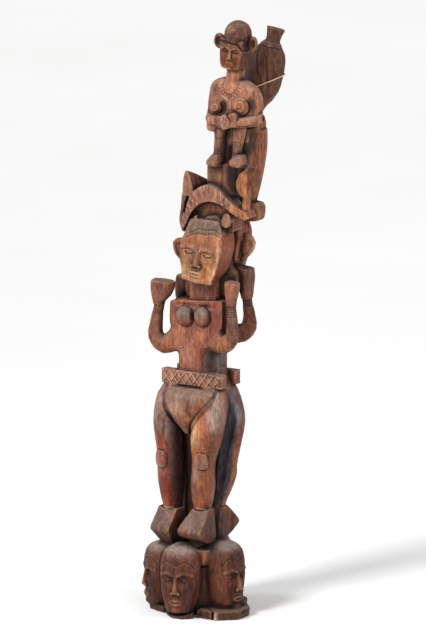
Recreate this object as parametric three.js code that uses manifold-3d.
// A tall carved log: four heads round a base, two standing figures back to back,
// a double snake arch on their heads, a small figure with folded hands on top and
// a jar behind it, tied with a twisted cord. Millimetres, +Z up, the front faces -Y.
import * as THREE from 'three';
import { ConvexGeometry } from 'three/addons/geometries/ConvexGeometry.js';
import Module from 'manifold-3d';

const wasm = await Module();
wasm.setup();

const RING_SIDES = 10;
const CORD_GAP = 0.3;

// Driving sizes of the log, from the ground up.
const slab = { height: 27, left: 19, lip: 11 };
const drum = { coreRadius: 84, coreTop: 150, radius: 92, bottom: 157, top: 204 };
const baseHead = { height: 207, halfWidth: 59, halfDepth: 57, foot: 16 };
const belt = { left: -96, right: 113, bottom: 702, top: 746, front: -54 };
const bigHead = { x: 42, chin: 1027, height: 188, halfWidth: 70, front: -45, lean: 0.11 };
const arch = { front: -76, depth: 54 };
const small = { x: 121, y: -30, z: 1384, lean: 0.085 };
const jar = { foot: [148, 62, 1506], mouth: [198, 124, 1786], radius: 58, mouthRadius: 28 };
const twine = { radius: 2.9, height: 0.41, rise: 4, near: -44, knot: 5.2, clear: 0.8 };

// A closed shell over a row of rings; every ring is a list of points of equal count.
function shellOver(rings) {
  const count = rings[0].length;
  const positions = [];
  for (const ring of rings) {
    for (const point of ring) positions.push(...point);
  }
  const middleOf = (ring) => [0, 1, 2].map((axis) => ring.reduce((sum, p) => sum + p[axis], 0) / count);
  positions.push(...middleOf(rings[0]), ...middleOf(rings[rings.length - 1]));
  const first = rings.length * count;
  const triangles = [];
  for (let k = 0; k < count; k += 1) {
    const next = (k + 1) % count;
    triangles.push(first, next, k);
    const lastRow = (rings.length - 1) * count;
    triangles.push(first + 1, lastRow + k, lastRow + next);
    for (let row = 0; row < rings.length - 1; row += 1) {
      const low = row * count;
      const high = low + count;
      triangles.push(low + k, low + next, high + next, low + k, high + next, high + k);
    }
  }
  const geometry = new THREE.BufferGeometry();
  geometry.setAttribute('position', new THREE.Float32BufferAttribute(positions, 3));
  geometry.setIndex(triangles);
  return geometry;
}

// A solid from an indexed closed geometry; a shell wound inside out is turned over.
function solidOf(geometry) {
  const index = Uint32Array.from(geometry.index.array);
  const position = geometry.attributes.position.array;
  let volume = 0;
  const corner = (k) => new THREE.Vector3().fromArray(position, index[k] * 3);
  for (let k = 0; k < index.length; k += 3) {
    volume += corner(k).dot(corner(k + 1).cross(corner(k + 2)));
  }
  if (volume < 0) index.reverse();
  const data = { numProp: 3, vertProperties: Float32Array.from(position), triVerts: index };
  return new wasm.Manifold(new wasm.Mesh(data));
}

// A ring about a centre, squarer as the power rises above 2.
function ringAt(centre, across, away, halfWidth, halfDepth, power = 2, sides = RING_SIDES) {
  const points = [];
  for (let k = 0; k < sides; k += 1) {
    const angle = (k / sides) * 2 * Math.PI;
    const c = Math.cos(angle);
    const s = Math.sin(angle);
    const reach = (Math.abs(c) ** power + Math.abs(s) ** power) ** (-1 / power);
    const a = c * reach * halfWidth;
    const b = s * reach * halfDepth;
    points.push([0, 1, 2].map((axis) => centre[axis] + across[axis] * a + away[axis] * b));
  }
  return points;
}

// An upright form from level rings: [height, x, y, half width, half depth].
function upright(rows, power = 2, sides = RING_SIDES) {
  const rings = rows.map(([z, x, y, w, d]) => ringAt([x, y, z], [1, 0, 0], [0, 1, 0], w, d, power, sides));
  return solidOf(shellOver(rings));
}

// A round limb through points [x, y, z, radius].
function limb(points, sides = 10) {
  const places = points.map(([x, y, z]) => new THREE.Vector3(x, y, z));
  const rings = points.map((point, k) => {
    const before = places[Math.max(0, k - 1)];
    const after = places[Math.min(places.length - 1, k + 1)];
    const along = after.clone().sub(before).normalize();
    const across = new THREE.Vector3(0, 1, 0).cross(along).normalize();
    const away = along.clone().cross(across);
    return ringAt(places[k].toArray(), across.toArray(), away.toArray(), point[3], point[3], 2, sides);
  });
  return solidOf(shellOver(rings));
}

function ball(x, y, z, rx, ry, rz, sides = 12) {
  const geometry = new THREE.SphereGeometry(1, sides, Math.max(4, Math.round(sides * 0.5)));
  geometry.scale(rx, ry, rz);
  geometry.translate(x, y, z);
  return closed(geometry);
}

// Joins the doubled corners of a ready-made geometry and makes a solid of it.
function closed(geometry) {
  const position = geometry.attributes.position;
  const index = geometry.index ? geometry.index.array : [...Array(position.count).keys()];
  const found = new Map();
  const kept = [];
  const place = [];
  for (let k = 0; k < position.count; k += 1) {
    const point = [position.getX(k), position.getY(k), position.getZ(k)];
    const key = point.map((value) => Math.round(value * 2000)).join(' ');
    if (!found.has(key)) {
      found.set(key, kept.length / 3);
      kept.push(...point);
    }
    place.push(found.get(key));
  }
  const triangles = [];
  for (let k = 0; k < index.length; k += 3) {
    const [a, b, c] = [place[index[k]], place[index[k + 1]], place[index[k + 2]]];
    if (a !== b && b !== c && c !== a) triangles.push(a, b, c);
  }
  const joined = new THREE.BufferGeometry();
  joined.setAttribute('position', new THREE.Float32BufferAttribute(kept, 3));
  joined.setIndex(triangles);
  return solidOf(joined);
}

// A block with its long edges taken off, between two corners.
function block(low, high, edge = 4) {
  const [w, d, h] = [0, 1, 2].map((axis) => high[axis] - low[axis]);
  const outline = new THREE.Shape();
  const [a, b] = [w / 2, d / 2];
  outline.moveTo(-a + edge, -b);
  outline.lineTo(a - edge, -b);
  outline.lineTo(a, -b + edge);
  outline.lineTo(a, b - edge);
  outline.lineTo(a - edge, b);
  outline.lineTo(-a + edge, b);
  outline.lineTo(-a, b - edge);
  outline.lineTo(-a, -b + edge);
  const geometry = new THREE.ExtrudeGeometry(outline, { depth: h, bevelEnabled: false });
  geometry.translate(low[0] + a, low[1] + b, low[2]);
  return closed(geometry);
}

function joinAll(solids) {
  return solids.reduce((whole, solid) => whole.add(solid));
}

// The flat-sided solid that just holds its corners, as left by straight cuts.
function hewn(corners) {
  return closed(new ConvexGeometry(corners.map((corner) => new THREE.Vector3(...corner))));
}

// A hewn solid with one outline in (x, z) at two depths.
function hewnPlate(outline, near, far) {
  return hewn(outline.flatMap(([x, z]) => [[x, near, z], [x, far, z]]));
}

// A level plate cut to an outline in (x, y).
function levelPlate(outline, low, high) {
  const shape = new THREE.Shape(outline.map(([x, y]) => new THREE.Vector2(x, y)));
  const geometry = new THREE.ExtrudeGeometry(shape, { depth: high - low, bevelEnabled: false });
  return closed(geometry.translate(0, 0, low));
}

// An upright plate cut to an outline in (x, z).
function uprightPlate(outline, near, far) {
  const shape = new THREE.Shape(outline.map(([x, z]) => new THREE.Vector2(x, z)));
  const geometry = new THREE.ExtrudeGeometry(shape, { depth: far - near, bevelEnabled: false });
  return closed(geometry.rotateX(Math.PI / 2).translate(0, far, 0));
}

// Leans a solid towards +X about the origin.
function leaning(solid, radians) {
  return solid.rotate([0, THREE.MathUtils.radToDeg(radians), 0]);
}

// Turns a solid about the upright and moves it.
function placed(solid, degrees, x, y, z = 0) {
  return solid.rotate([0, 0, degrees]).translate([x, y, z]);
}

// Edge of the ground slab, (x, y), anticlockwise from the right.
const slabEdge = [
  [178, 2], [158, 28], [136, 62], [110, 104], [58, 136], [-10, 149], [-76, 134], [-122, 94], [-145, 40], [-144, -20],
  [-128, -74], [-102, -90], [-74, -98], [-44, -114], [-8, -146], [26, -145], [50, -122], [64, -100], [94, -100],
  [120, -110], [152, -84], [178, -57],
];

// The ragged slab at the very bottom, split from its edge and thinner on the left and under the front chin.
function groundSlab() {
  const disc = levelPlate(slabEdge, 0, slab.height);
  const splits = [[-64, 10, 84], [-119, 12, 96], [-43, 4, 108], [30, 4, 110], [150, 6, 112]];
  const cuts = splits.map(([degrees, width, reach]) => (
    placed(block([reach, -width / 2, -5], [200, width / 2, 60], 1), degrees, 0, 0)
  ));
  const left = placed(block([104, -70, slab.left], [200, 70, 60], 1), 208, 0, 0);
  const lip = placed(block([118, -34, slab.lip], [200, 34, 60], 1), -92, 0, 0);
  return [...cuts, left, lip].reduce((rest, cut) => rest.subtract(cut), disc);
}

// One head on a level base: a tapered skull with eye hollows, nose and closed lips.
// The face looks along -Y and its back runs into the log. A plain head keeps only the nose.
function carvedHead(size, plain) {
  const { halfWidth: w, halfDepth: d, height: h } = size;
  const skull = upright([
    [0, 0, 0, w * 0.6, d * 0.76],
    [h * 0.06, 0, 0, w * 0.72, d * 0.88],
    [h * 0.3, 0, 0, w * 0.92, d * 0.97],
    [h * 0.6, 0, 0, w, d],
    [h * 0.8, 0, 1, w * 0.96, d * 0.94],
    [h * 0.92, 0, 4, w * 0.78, d * 0.76],
    [h, 0, 8, w * 0.36, d * 0.36],
  ], 3, 10);
  const front = -d;
  const sockets = [-1, 1].map((side) => ball(side * w * 0.45, front - 1, h * 0.535, w * 0.4, 10, h * 0.085, 6));
  const nose = upright([
    [h * 0.28, 0, front + 4, w * 0.22, 10],
    [h * 0.33, 0, front + 2, w * 0.24, 16],
    [h * 0.62, 0, front + 8, w * 0.12, 9],
  ], 2.2, 6);
  const lips = ball(0, front + 6, h * 0.17, w * 0.34, 11, h * 0.05, 6);
  if (plain) return skull.add(nose);
  return joinAll([sockets.reduce((rest, cut) => rest.subtract(cut), skull), nose, lips]);
}

// The four heads that stand on the slab round the drum: [place angle, facing angle, lift, reach].
function baseHeads() {
  const heads = [[-91, -79, 0, 98], [-4, -9, 4, 93], [96, 98, 0, 98], [203, 226, -13, 105]];
  return heads.map(([place, facing, lift, reach]) => {
    const size = { ...baseHead, height: baseHead.height + lift };
    const angle = THREE.MathUtils.degToRad(place);
    const plain = place > 90 && place < 100;
    return placed(carvedHead(size, plain), facing + 90, reach * Math.cos(angle), reach * Math.sin(angle), baseHead.foot);
  });
}

function base() {
  const core = upright([
    [10, 0, 0, drum.coreRadius, drum.coreRadius],
    [drum.coreTop, 0, 0, drum.coreRadius, drum.coreRadius],
    [drum.bottom, 0, 0, drum.radius, drum.radius],
    [drum.top, 0, 0, drum.radius, drum.radius],
  ], 2.3, 12);
  return joinAll([groundSlab(), core, ...baseHeads()]);
}

// A wedge foot: the top slopes to the toes and the sole is cut back to a small base.
// Local origin at the middle of the sole's contact; toes along -Y.
function wedgeFoot({ width, length, height, toe, sole, crown }) {
  const outline = [
    [-8, 0, 0.46], [10 - length, sole, 0.92], [-length, toe - 9, 1], [3 - length, toe, 1], [15 - length, toe + 9, 0.98],
    [-24, height, crown], [14, height, crown], [24, 0, 0.6],
  ];
  const sideOf = (side) => outline.map(([y, z, share]) => [(side * width * share) / 2, y, z]);
  return solidOf(shellOver([sideOf(-1), sideOf(1)]));
}

// The pair's four feet; a turn of 0 looks to the front.
function feetOfPair() {
  const feet = [
    { x: -63, y: -40, z: 190, turn: -14, width: 80, length: 64, height: 132, toe: 74, sole: 52, crown: 0.95 },
    { x: 47, y: -40, z: 218, turn: -4, width: 88, length: 88, height: 113, toe: 58, sole: 32, crown: 0.6 },
    { x: 40, y: 40, z: 206, turn: 176, width: 84, length: 70, height: 112, toe: 62, sole: 42, crown: 0.66 },
    { x: -58, y: 40, z: 206, turn: 186, width: 84, length: 70, height: 112, toe: 62, sole: 42, crown: 0.66 },
  ];
  return feet.map((foot) => placed(wedgeFoot(foot), foot.turn, foot.x, foot.y, foot.z));
}

// A leg from hip to ankle through points [x, y, z, radius], with a knee cap turned to its side.
function leg({ path, knee, turn }) {
  const angle = THREE.MathUtils.degToRad(turn);
  const forward = 34;
  const [x, y, z] = knee;
  const cap = ball(x + forward * Math.sin(angle), y - forward * Math.cos(angle), z, 22, 12, 26, 6);
  return limb(path, 6).add(cap);
}

// The legs of both figures, two in front and two behind.
function legsOfPair() {
  const legs = [
    { knee: [-66, -42, 474], turn: -26, path: [[-46, -12, 700, 40], [-70, -32, 650, 48], [-78, -42, 583, 46],
      [-74, -42, 520, 42], [-71, -42, 466, 40], [-71, -42, 420, 40], [-67, -42, 370, 36], [-63, -42, 325, 29],
      [-63, -42, 300, 27]] },
    { knee: [53, -44, 482], turn: 4, path: [[62, -12, 700, 40], [70, -34, 650, 50], [60, -44, 584, 52],
      [52, -44, 530, 46], [46, -44, 480, 37], [44, -44, 440, 36], [43, -44, 400, 38], [42, -44, 361, 33],
      [43, -44, 325, 26], [44, -44, 305, 26]] },
    { knee: [62, 46, 470], turn: 180, path: [[54, 40, 700, 42], [70, 44, 640, 50], [80, 46, 584, 50],
      [74, 46, 520, 44], [62, 46, 453, 42], [60, 46, 420, 42], [52, 46, 380, 36], [42, 45, 330, 26],
      [40, 44, 300, 26]] },
    { knee: [-62, 46, 474], turn: 180, path: [[-50, 40, 700, 44], [-66, 44, 640, 50], [-74, 46, 584, 50],
      [-66, 46, 520, 44], [-60, 46, 460, 40], [-56, 46, 400, 38], [-56, 44, 340, 30], [-58, 44, 300, 26]] },
  ];
  return legs.map(leg);
}

// Web of wood left between the two pairs of legs.
function web() {
  return upright([
    [190, -6, 6, 46, 24], [300, -6, 6, 44, 24], [480, -4, 4, 38, 26], [600, 4, 0, 60, 34], [720, 10, 0, 70, 52],
  ], 2.6);
}

// Belly and hips above the legs, with the pointed apron shape on both faces.
function hips() {
  const body = upright([
    [560, 8, 0, 40, 44], [610, 10, 0, 72, 58], [660, 10, 0, 90, 58], [690, 10, 2, 90, 54], [710, 12, 2, 82, 48],
    [760, 14, 2, 74, 44],
  ], 2.6, 10);
  const apron = (facing) => {
    const rows = [[558, 3, 8, 14], [578, -3, 18, 26], [605, -4, 37, 40], [636, 1, 60, 47], [662, 7, 75, 47],
      [680, 9, 80, 40], [690, 10, 79, 27], [698, 10, 73, 12]];
    return upright(rows.map(([z, x, w, d]) => [z, x, facing * 58, w, d]), 3, 10);
  };
  return joinAll([body, apron(-1), apron(1)]);
}

function belts() {
  const front = block([belt.left, belt.front, belt.bottom], [belt.right, -26, belt.top], 3);
  const rear = block([belt.left + 3, 32, belt.bottom - 2], [belt.right - 1, 62, belt.top - 2], 3);
  return front.add(rear);
}

// The trunk: a broad shallow block with a shelf at the collar, a bevelled waist corner and breasts.
function chest() {
  const trunk = upright([
    [735, 17, 0, 69, 46], [790, 17, 0, 69, 47], [826, 15, -2, 78, 50], [866, 17, -2, 93, 53], [930, 18, -1, 96, 54],
    [948, 18, 0, 95, 52],
  ], 4.5, 12);
  const bevel = placed(block([0, -60, 748], [60, 60, 822], 1), -49.5, 53, -49);
  const shelf = hewn([
    [-72, -48, 884], [108, -48, 884], [-72, 46, 884], [108, 46, 884], [-75, -48, 930], [113, -48, 930],
    [-74, -49, 950], [114, -49, 966], [-58, -50, 960], [100, -50, 974], [-70, 46, 958], [108, 46, 970],
  ]);
  const breasts = [[-12, -56, 918, 29], [48, -56, 922, 25], [46, 54, 922, 25], [-16, 54, 920, 26]];
  return joinAll([trunk.subtract(bevel), shelf, ...breasts.map(([x, y, z, wide]) => ball(x, y, z, wide, 26, 29, 7))]);
}

// Raised arms: they leave the lower chest, bend up at the elbow and end in a flat-topped fist.
// A fist is level rings, [height, x, y, half width, half depth].
function arms() {
  const rows = [
    { path: [[-6, -24, 858, 27], [-50, -28, 840, 32], [-90, -42, 819, 29], [-119, -45, 842, 24], [-118, -45, 882, 20],
      [-113, -45, 915, 17], [-107, -45, 940, 16]],
    fist: [[936, -109, -45, 15, 16], [950, -108, -45, 18, 20], [968, -101, -45, 28, 25], [988, -97, -45, 35, 28],
      [1008, -95, -45, 37, 28], [1020, -98, -45, 31, 24]] },
    { path: [[30, -24, 850, 27], [76, -26, 842, 31], [116, -40, 842, 28], [141, -44, 862, 22], [145, -45, 890, 18],
      [145, -45, 930, 15], [142, -45, 964, 13]],
    fist: [[958, 142, -45, 13, 14], [980, 142, -45, 15, 17], [1008, 144, -45, 20, 21], [1040, 144, -45, 22, 22]] },
    { path: [[40, 24, 850, 28], [90, 30, 858, 30], [126, 42, 860, 28], [150, 45, 882, 24], [152, 45, 915, 19],
      [147, 45, 946, 16], [144, 45, 970, 15]],
    fist: [[964, 144, 45, 15, 16], [990, 142, 45, 20, 20], [1030, 137, 45, 29, 24], [1068, 133, 45, 31, 24]] },
    { path: [[10, 24, 850, 28], [-40, 30, 840, 28], [-72, 40, 838, 26], [-88, 45, 862, 22], [-88, 45, 900, 18],
      [-82, 45, 944, 17]],
    fist: [[940, -82, 46, 17, 17], [970, -72, 42, 26, 24], [1010, -62, 36, 30, 26], [1026, -60, 34, 27, 22]] },
  ];
  return rows.map(({ path, fist }) => limb(path, 6).add(upright(fist, 2.8, 8)));
}

// The big head's levels: [height, shift aside, half width, front, back, rise of the right side].
const headLevels = [
  [6, 2, 50, -42, -6, 0], [40, 4, 60, -44, 36, 0], [76, 5, 67, -46, 44, 0], [120, 8, 71, -44, 44, 5],
  [158, 11, 57, -35, 42, 20], [184, 2, 54, -22, 36, 22],
];

// Outline of an ear, (away from the head, up).
const earOutline = [[-12, -42], [10, -34], [34, -14], [46, 6], [50, 24], [40, 42], [20, 48], [-10, 38]];

function leafEar(root, level, size) {
  return uprightPlate(earOutline.map(([a, c]) => [root - a * size, level + c * size]), -8 * size, 9 * size);
}

// Flat-faced head with a low cap and one ear clear of the log; the face looks along -Y before it is placed.
function cappedHead(mirror, plain, ear) {
  const { height: h, halfWidth: w, front } = bigHead;
  const corners = headLevels.flatMap(([z, aside, wide, near, far, rise]) => [-1, 1].flatMap((side) => {
    const x = aside * mirror + side * wide;
    const level = z + (side === mirror ? rise : 0);
    return [[x, near, level], [x, far, level]];
  }));
  const skull = hewn(corners);
  const sockets = [-1, 1].map((side) => ball(side * w * 0.42, front - 3, h * 0.56, w * 0.32, 9, h * 0.08, 6));
  const eyes = [-1, 1].map((side) => ball(side * w * 0.42, front + 6, h * 0.555, w * 0.2, 8, h * 0.03, 6));
  const nose = upright([
    [h * 0.3, 0, front + 2, w * 0.2, 10], [h * 0.35, 0, front - 1, w * 0.21, 13],
    [h * 0.5, 0, front + 2, w * 0.13, 11], [h * 0.66, 0, front + 6, w * 0.1, 8],
  ], 2.4, 6);
  const lips = ball(0, front + 4, h * 0.18, w * 0.32, 10, h * 0.045, 6);
  if (plain) return joinAll([skull, nose, ear]);
  return joinAll([sockets.reduce((rest, cut) => rest.subtract(cut), skull), ...eyes, nose, lips, ear]);
}

function headsOfPair() {
  const { x, chin, halfWidth: w, height: h, lean } = bigHead;
  const frontEar = leafEar(3 - w, h * 0.41, 0.86);
  const rearEar = leafEar(8 - w, h * 0.4, 1);
  const front = leaning(cappedHead(1, false, frontEar), lean).translate([x, -50, chin]);
  const rear = placed(cappedHead(-1, true, rearEar), 180, 52, 60, chin + 12);
  const neck = upright([[940, 37, -20, 48, 21], [985, 39, -21, 47, 21], [1045, 42, -22, 46, 22]], 8, 8);
  const nape = upright([[940, 40, 40, 42, 24], [985, 40, 42, 38, 24], [1045, 50, 46, 40, 26]], 6, 8);
  const core = upright([
    [930, 25, 8, 62, 22], [975, 35, 8, 78, 22], [990, 44, 8, 90, 24], [1050, 48, 8, 84, 26], [1080, 52, 10, 58, 26],
    [1200, 60, 8, 52, 28], [1300, 92, 8, 56, 40],
  ], 3, 10);
  return joinAll([front, rear, neck, nape, core]);
}

// The arch's outer and inner edges, (x, z), from left to right.
const archOuter = [
  [-15, 1187], [-13, 1222], [2, 1260], [17, 1294], [46, 1321], [80, 1330], [112, 1319], [143, 1294], [176, 1272],
  [212, 1258],
];
const archInner = [
  [-5, 1184], [9, 1219], [25, 1249], [48, 1269], [80, 1280], [111, 1277], [143, 1262], [170, 1246], [199, 1238],
  [216, 1242],
];

// Back wall, posts and knot in the recess under the arch.
function vaultRoom() {
  const roof = archInner.slice(1, 7).map(([x, z]) => [x, z + 4]);
  const wall = uprightPlate([[-2, 1190], ...roof, [150, 1250], [150, 1190]], -50, 20);
  const lowPost = [[14, 1184], [40, 1184], [40, 1216], [33, 1234], [16, 1216]];
  const tallPost = [[122, 1190], [150, 1190], [160, 1232], [147, 1251], [130, 1249], [120, 1220]];
  const knot = hewnPlate([[58, 1196], [116, 1200], [116, 1230], [100, 1238], [66, 1232], [58, 1220]], -66, -40);
  const gap = block([-16, -44, 1192], [16, 0, 1292]);
  return joinAll([
    wall, knot, gap, hewnPlate(lowPost, -70, -46), hewnPlate(lowPost, 48, 72), hewnPlate(tallPost, -72, -44),
    hewnPlate(tallPost, 46, 74),
  ]);
}

// A bent snake body cut as a plate between smooth edges; `last` edge points are used.
function snakeArch(last, shift, near) {
  const smooth = (row) => new THREE.SplineCurve(row.slice(0, last).map(([x, z]) => new THREE.Vector2(x + shift, z)))
    .getPoints(12).map((point) => [point.x, point.y]);
  return uprightPlate([...smooth(archOuter), ...smooth(archInner).reverse()], near, near + arch.depth);
}

// The upturned viper heads at the ends of the front arch and the plain stumps of the rear one.
function snakes() {
  const leftNeck = limb([
    [-18, -52, 1182, 8], [-22, -54, 1211, 10], [-17, -58, 1247, 8], [-6, -62, 1287, 12], [4, -60, 1314, 14],
  ], 8);
  const leftHead = hewn([
    [-10, -76, 1290], [27, -76, 1290], [25, -76, 1318], [15, -76, 1348], [6, -76, 1370], [-3, -76, 1365],
    [-10, -76, 1332], [-8, -30, 1294], [30, -30, 1298], [12, -30, 1352], [22, -30, 1347], [12, 14, 1290],
    [48, 14, 1290], [48, 14, 1318], [28, 14, 1326],
  ]);
  const rightNeck = limb([[190, -54, 1246, 16], [197, -54, 1272, 13], [198, -52, 1300, 12], [195, -50, 1322, 14]], 8);
  const rightHead = hewn([
    [186, -66, 1300], [205, -66, 1300], [163, -62, 1332], [163, -62, 1348], [177, -62, 1375], [203, -60, 1397],
    [207, -66, 1390], [200, -68, 1332], [210, -46, 1312], [214, -40, 1345], [214, -40, 1384], [206, -46, 1398],
    [172, -44, 1318], [168, -42, 1348], [182, -42, 1376],
  ]);
  const knobOutline = [[150, 1207], [190, 1212], [194, 1224], [195, 1256], [186, 1266], [160, 1268], [134, 1240]];
  const knob = hewnPlate(knobOutline, 26, 72);
  const rearStump = upright([[1198, 6, 52, 18, 20], [1230, 4, 52, 24, 24], [1264, 8, 52, 20, 22]], 3, 8);
  const arches = [snakeArch(10, 0, arch.front), snakeArch(8, -6, 22)];
  return joinAll([...arches, leftNeck, leftHead, rightNeck, rightHead, knob, rearStump]);
}

// The plinth under the small figure and the rounded log behind it.
function upperLog() {
  const plinth = hewn([[58, 1385], [156, 1398]].flatMap(([x, top]) => (
    [-48, 30].flatMap((y) => [[x, y, 1300], [x, y, top]])
  )));
  const log = upright([
    [1225, 108, 44, 52, 34], [1270, 114, 46, 56, 40], [1306, 118, 48, 61, 42], [1370, 125, 48, 68, 46],
    [1437, 130, 50, 71, 48], [1490, 133, 52, 67, 44],
  ], 2.6, 12);
  const ledge = block([88, 0, 1484], [195, 80, 1520], 14);
  const backing = upright([[1380, 130, 16, 54, 36], [1500, 136, 16, 54, 38]], 3, 10);
  return joinAll([plinth, log, ledge, backing]);
}

// Small standing figure with its hands together, built upright and then leaned.
function smallFigure() {
  const footOf = (x, w, lift) => upright([
    [lift, x, -20, w * 0.9, 26], [7 + lift, x, -22, w, 30], [16 + lift, x, -22, w * 0.96, 29],
    [25 + lift, x, -17, w * 0.78, 24], [36 + lift, x, -10, w * 0.55, 16],
  ], 3, 8);
  const legOf = (x, wide) => limb([
    [x, -8, 16, wide + 1], [x, -8, 62, wide - 1], [x + 2, -8, 100, wide + 4], [x + 2, -6, 136, 20],
  ], 6);
  const seat = hewn([-60, 60].flatMap((y) => [[-80, y, 80], [90, y, 80], [-80, y, 108], [90, y, 142]]));
  const hollows = joinAll([ball(74, -38, 201, 25, 14, 33, 8), ball(-17, -38, 182, 17, 14, 29, 8)]);
  const body = upright([
    [96, 2, 0, 66, 26], [126, 6, 0, 80, 30], [170, 10, 0, 88, 31], [222, 10, 0, 86, 30], [250, 6, 1, 74, 27],
    [264, 4, 3, 54, 22], [270, 2, 4, 34, 18],
  ], 3, 10).subtract(seat).subtract(hollows);
  const elbow = block([-72, -32, 101], [-36, 10, 160], 5);
  const neck = upright([[258, -2, -2, 24, 19], [314, -1, -4, 22, 18]], 2.6, 8);
  const bridge = upright([[240, 8, 10, 17, 16], [318, 10, 10, 17, 16]], 2.6, 8);
  const breasts = [[-40, 179, 19], [42, 196, 29]].map(([x, z, wide]) => ball(x, -28, z, wide, 11, wide, 7));
  const leftArm = limb([[-62, -14, 140, 17], [-46, -32, 142, 15], [-26, -44, 146, 13]], 6);
  const rightArm = limb([[104, -6, 168, 18], [74, -28, 160, 14], [44, -42, 152, 13], [20, -48, 151, 13]], 6);
  const hands = [
    block([-34, -60, 132], [-6, -30, 162]), block([18, -60, 132], [46, -30, 182]), ball(8, -58, 149, 18, 9, 23, 8),
  ];
  const upper = joinAll([body, elbow, neck, bridge, ...breasts, leftArm, rightArm, ...hands, smallHead()]);
  const whole = joinAll([footOf(-34, 21, 0), footOf(46, 24, 13), legOf(-35, 12), legOf(32, 14), upper]);
  return leaning(whole, small.lean).translate([small.x, small.y, small.z]);
}

// The small figure's head with a round brimmed cap.
function smallHead() {
  const levels = [[304, 27, -36, 16], [314, 33, -40, 24], [346, 37, -42, 28], [396, 38, -37, 34]];
  const face = hewn(levels.flatMap(([z, wide, near, far]) => (
    [-wide, wide].flatMap((x) => [[x, near, z], [x, far, z]])
  )));
  const cap = upright([
    [388, 1, 0, 40, 40], [400, 1, 0, 41, 41], [420, 0, 0, 38, 38], [438, 0, 0, 27, 27], [448, 0, 0, 10, 10],
  ], 2.3, 10);
  const nose = upright([[338, 0, -40, 8, 7], [352, 0, -41, 7, 8], [378, 0, -37, 5, 5]], 2.2, 6);
  const lips = ball(0, -38, 326, 12, 6, 6, 6);
  const ears = [ball(-56, -4, 377, 23, 9, 24, 8), ball(52, -4, 388, 18, 9, 23, 8)];
  return joinAll([face, cap, nose, lips, ...ears]);
}

// Jar outline as [share of the greatest radius, share of the height], foot to neck.
const jarProfile = [
  [0.3, 0], [0.5, 0.17], [0.78, 0.27], [0.97, 0.38], [1, 0.5], [0.97, 0.62], [0.83, 0.74], [0.56, 0.82], [0.38, 0.875],
];

// The jar's own axes: across, up along its leaning middle, and away.
function jarAxes() {
  const foot = new THREE.Vector3(...jar.foot);
  const up = new THREE.Vector3(...jar.mouth).sub(foot).normalize();
  const across = new THREE.Vector3(0, 1, 0).cross(up).normalize();
  const away = up.clone().cross(across);
  return { foot, up, across, away };
}

function jarLength() {
  return new THREE.Vector3(...jar.mouth).distanceTo(new THREE.Vector3(...jar.foot));
}

function jarRadiusAt(share) {
  const above = jarProfile.findIndex(([, height]) => height >= share);
  const [r0, h0] = jarProfile[above - 1];
  const [r1, h1] = jarProfile[above];
  return jar.radius * (r0 + ((r1 - r0) * (share - h0)) / (h1 - h0));
}

// The jar: round shoulder, pointed foot, short flared neck, turned about its own leaning axis.
function jarSolid() {
  const length = jarLength();
  const profile = [
    [0, 0], ...jarProfile.map(([radius, height]) => [radius * jar.radius, height * length]),
    [jar.mouthRadius, length], [0, length],
  ];
  const turned = new THREE.LatheGeometry(profile.map(([x, y]) => new THREE.Vector2(x, y)), 14);
  const { foot, up, across, away } = jarAxes();
  const frame = new THREE.Matrix4().makeBasis(across, up, away.negate()).setPosition(foot);
  return closed(turned.applyMatrix4(frame));
}

function figureSolid() {
  return joinAll([
    base(), ...feetOfPair(), ...legsOfPair(), web(), hips(), belts(), chest(), ...arms(), headsOfPair(), vaultRoom(),
    snakes(), upperLog(), smallFigure(), jarSolid(),
  ]).subtract(twineLoop(twine.radius + CORD_GAP));
}

// A cord tied once round the jar, lower in front, closed by a knot on the left.
function twineLoop(radius) {
  const length = jarLength();
  const { foot, up, across, away } = jarAxes();
  const points = [];
  const count = 24;
  for (let k = 0; k <= count; k += 1) {
    const angle = ((k === count ? count - 0.02 : k) / count) * 2 * Math.PI;
    const turn = angle - 0.35;
    const height = twine.height * length - twine.rise * Math.sin(turn) + twine.near * Math.cos(turn);
    const reach = jarRadiusAt(height / length) + twine.radius + twine.clear;
    points.push(foot.clone().addScaledVector(across, -Math.cos(angle) * reach)
      .addScaledVector(away, -Math.sin(angle) * reach).addScaledVector(up, height));
  }
  const path = new THREE.CatmullRomCurve3(points);
  const section = new THREE.Shape();
  section.absarc(0, 0, radius, 0, 2 * Math.PI);
  const cord = closed(new THREE.ExtrudeGeometry(section, {
    steps: 30, curveSegments: 3, bevelEnabled: false, extrudePath: path,
  }));
  const start = path.getPoint(0);
  const outward = start.clone().sub(path.getPoint(0.5)).normalize().multiplyScalar(twine.knot - twine.radius);
  const knot = start.add(outward);
  return cord.add(ball(knot.x, knot.y, knot.z, radius + 3, radius + 3, radius + 3, 8));
}

function geometryOf(solid) {
  const mesh = solid.getMesh();
  const geometry = new THREE.BufferGeometry();
  geometry.setAttribute('position', new THREE.BufferAttribute(Float32Array.from(mesh.vertProperties), mesh.numProp));
  geometry.setIndex(new THREE.BufferAttribute(Uint32Array.from(mesh.triVerts), 1));
  geometry.computeVertexNormals();
  return geometry;
}

const group = new THREE.Group();
group.name = 'carved_log';
const wood = new THREE.MeshStandardMaterial({ color: 0x7a4a30, roughness: 0.55 });
const figure = new THREE.Mesh(geometryOf(figureSolid()), wood);
figure.name = 'figure';
const twist = new THREE.MeshStandardMaterial({ color: 0xb59a72, roughness: 0.9 });
const cord = new THREE.Mesh(geometryOf(twineLoop(twine.radius)), twist);
cord.name = 'twine';
group.add(figure, cord);
export default group;
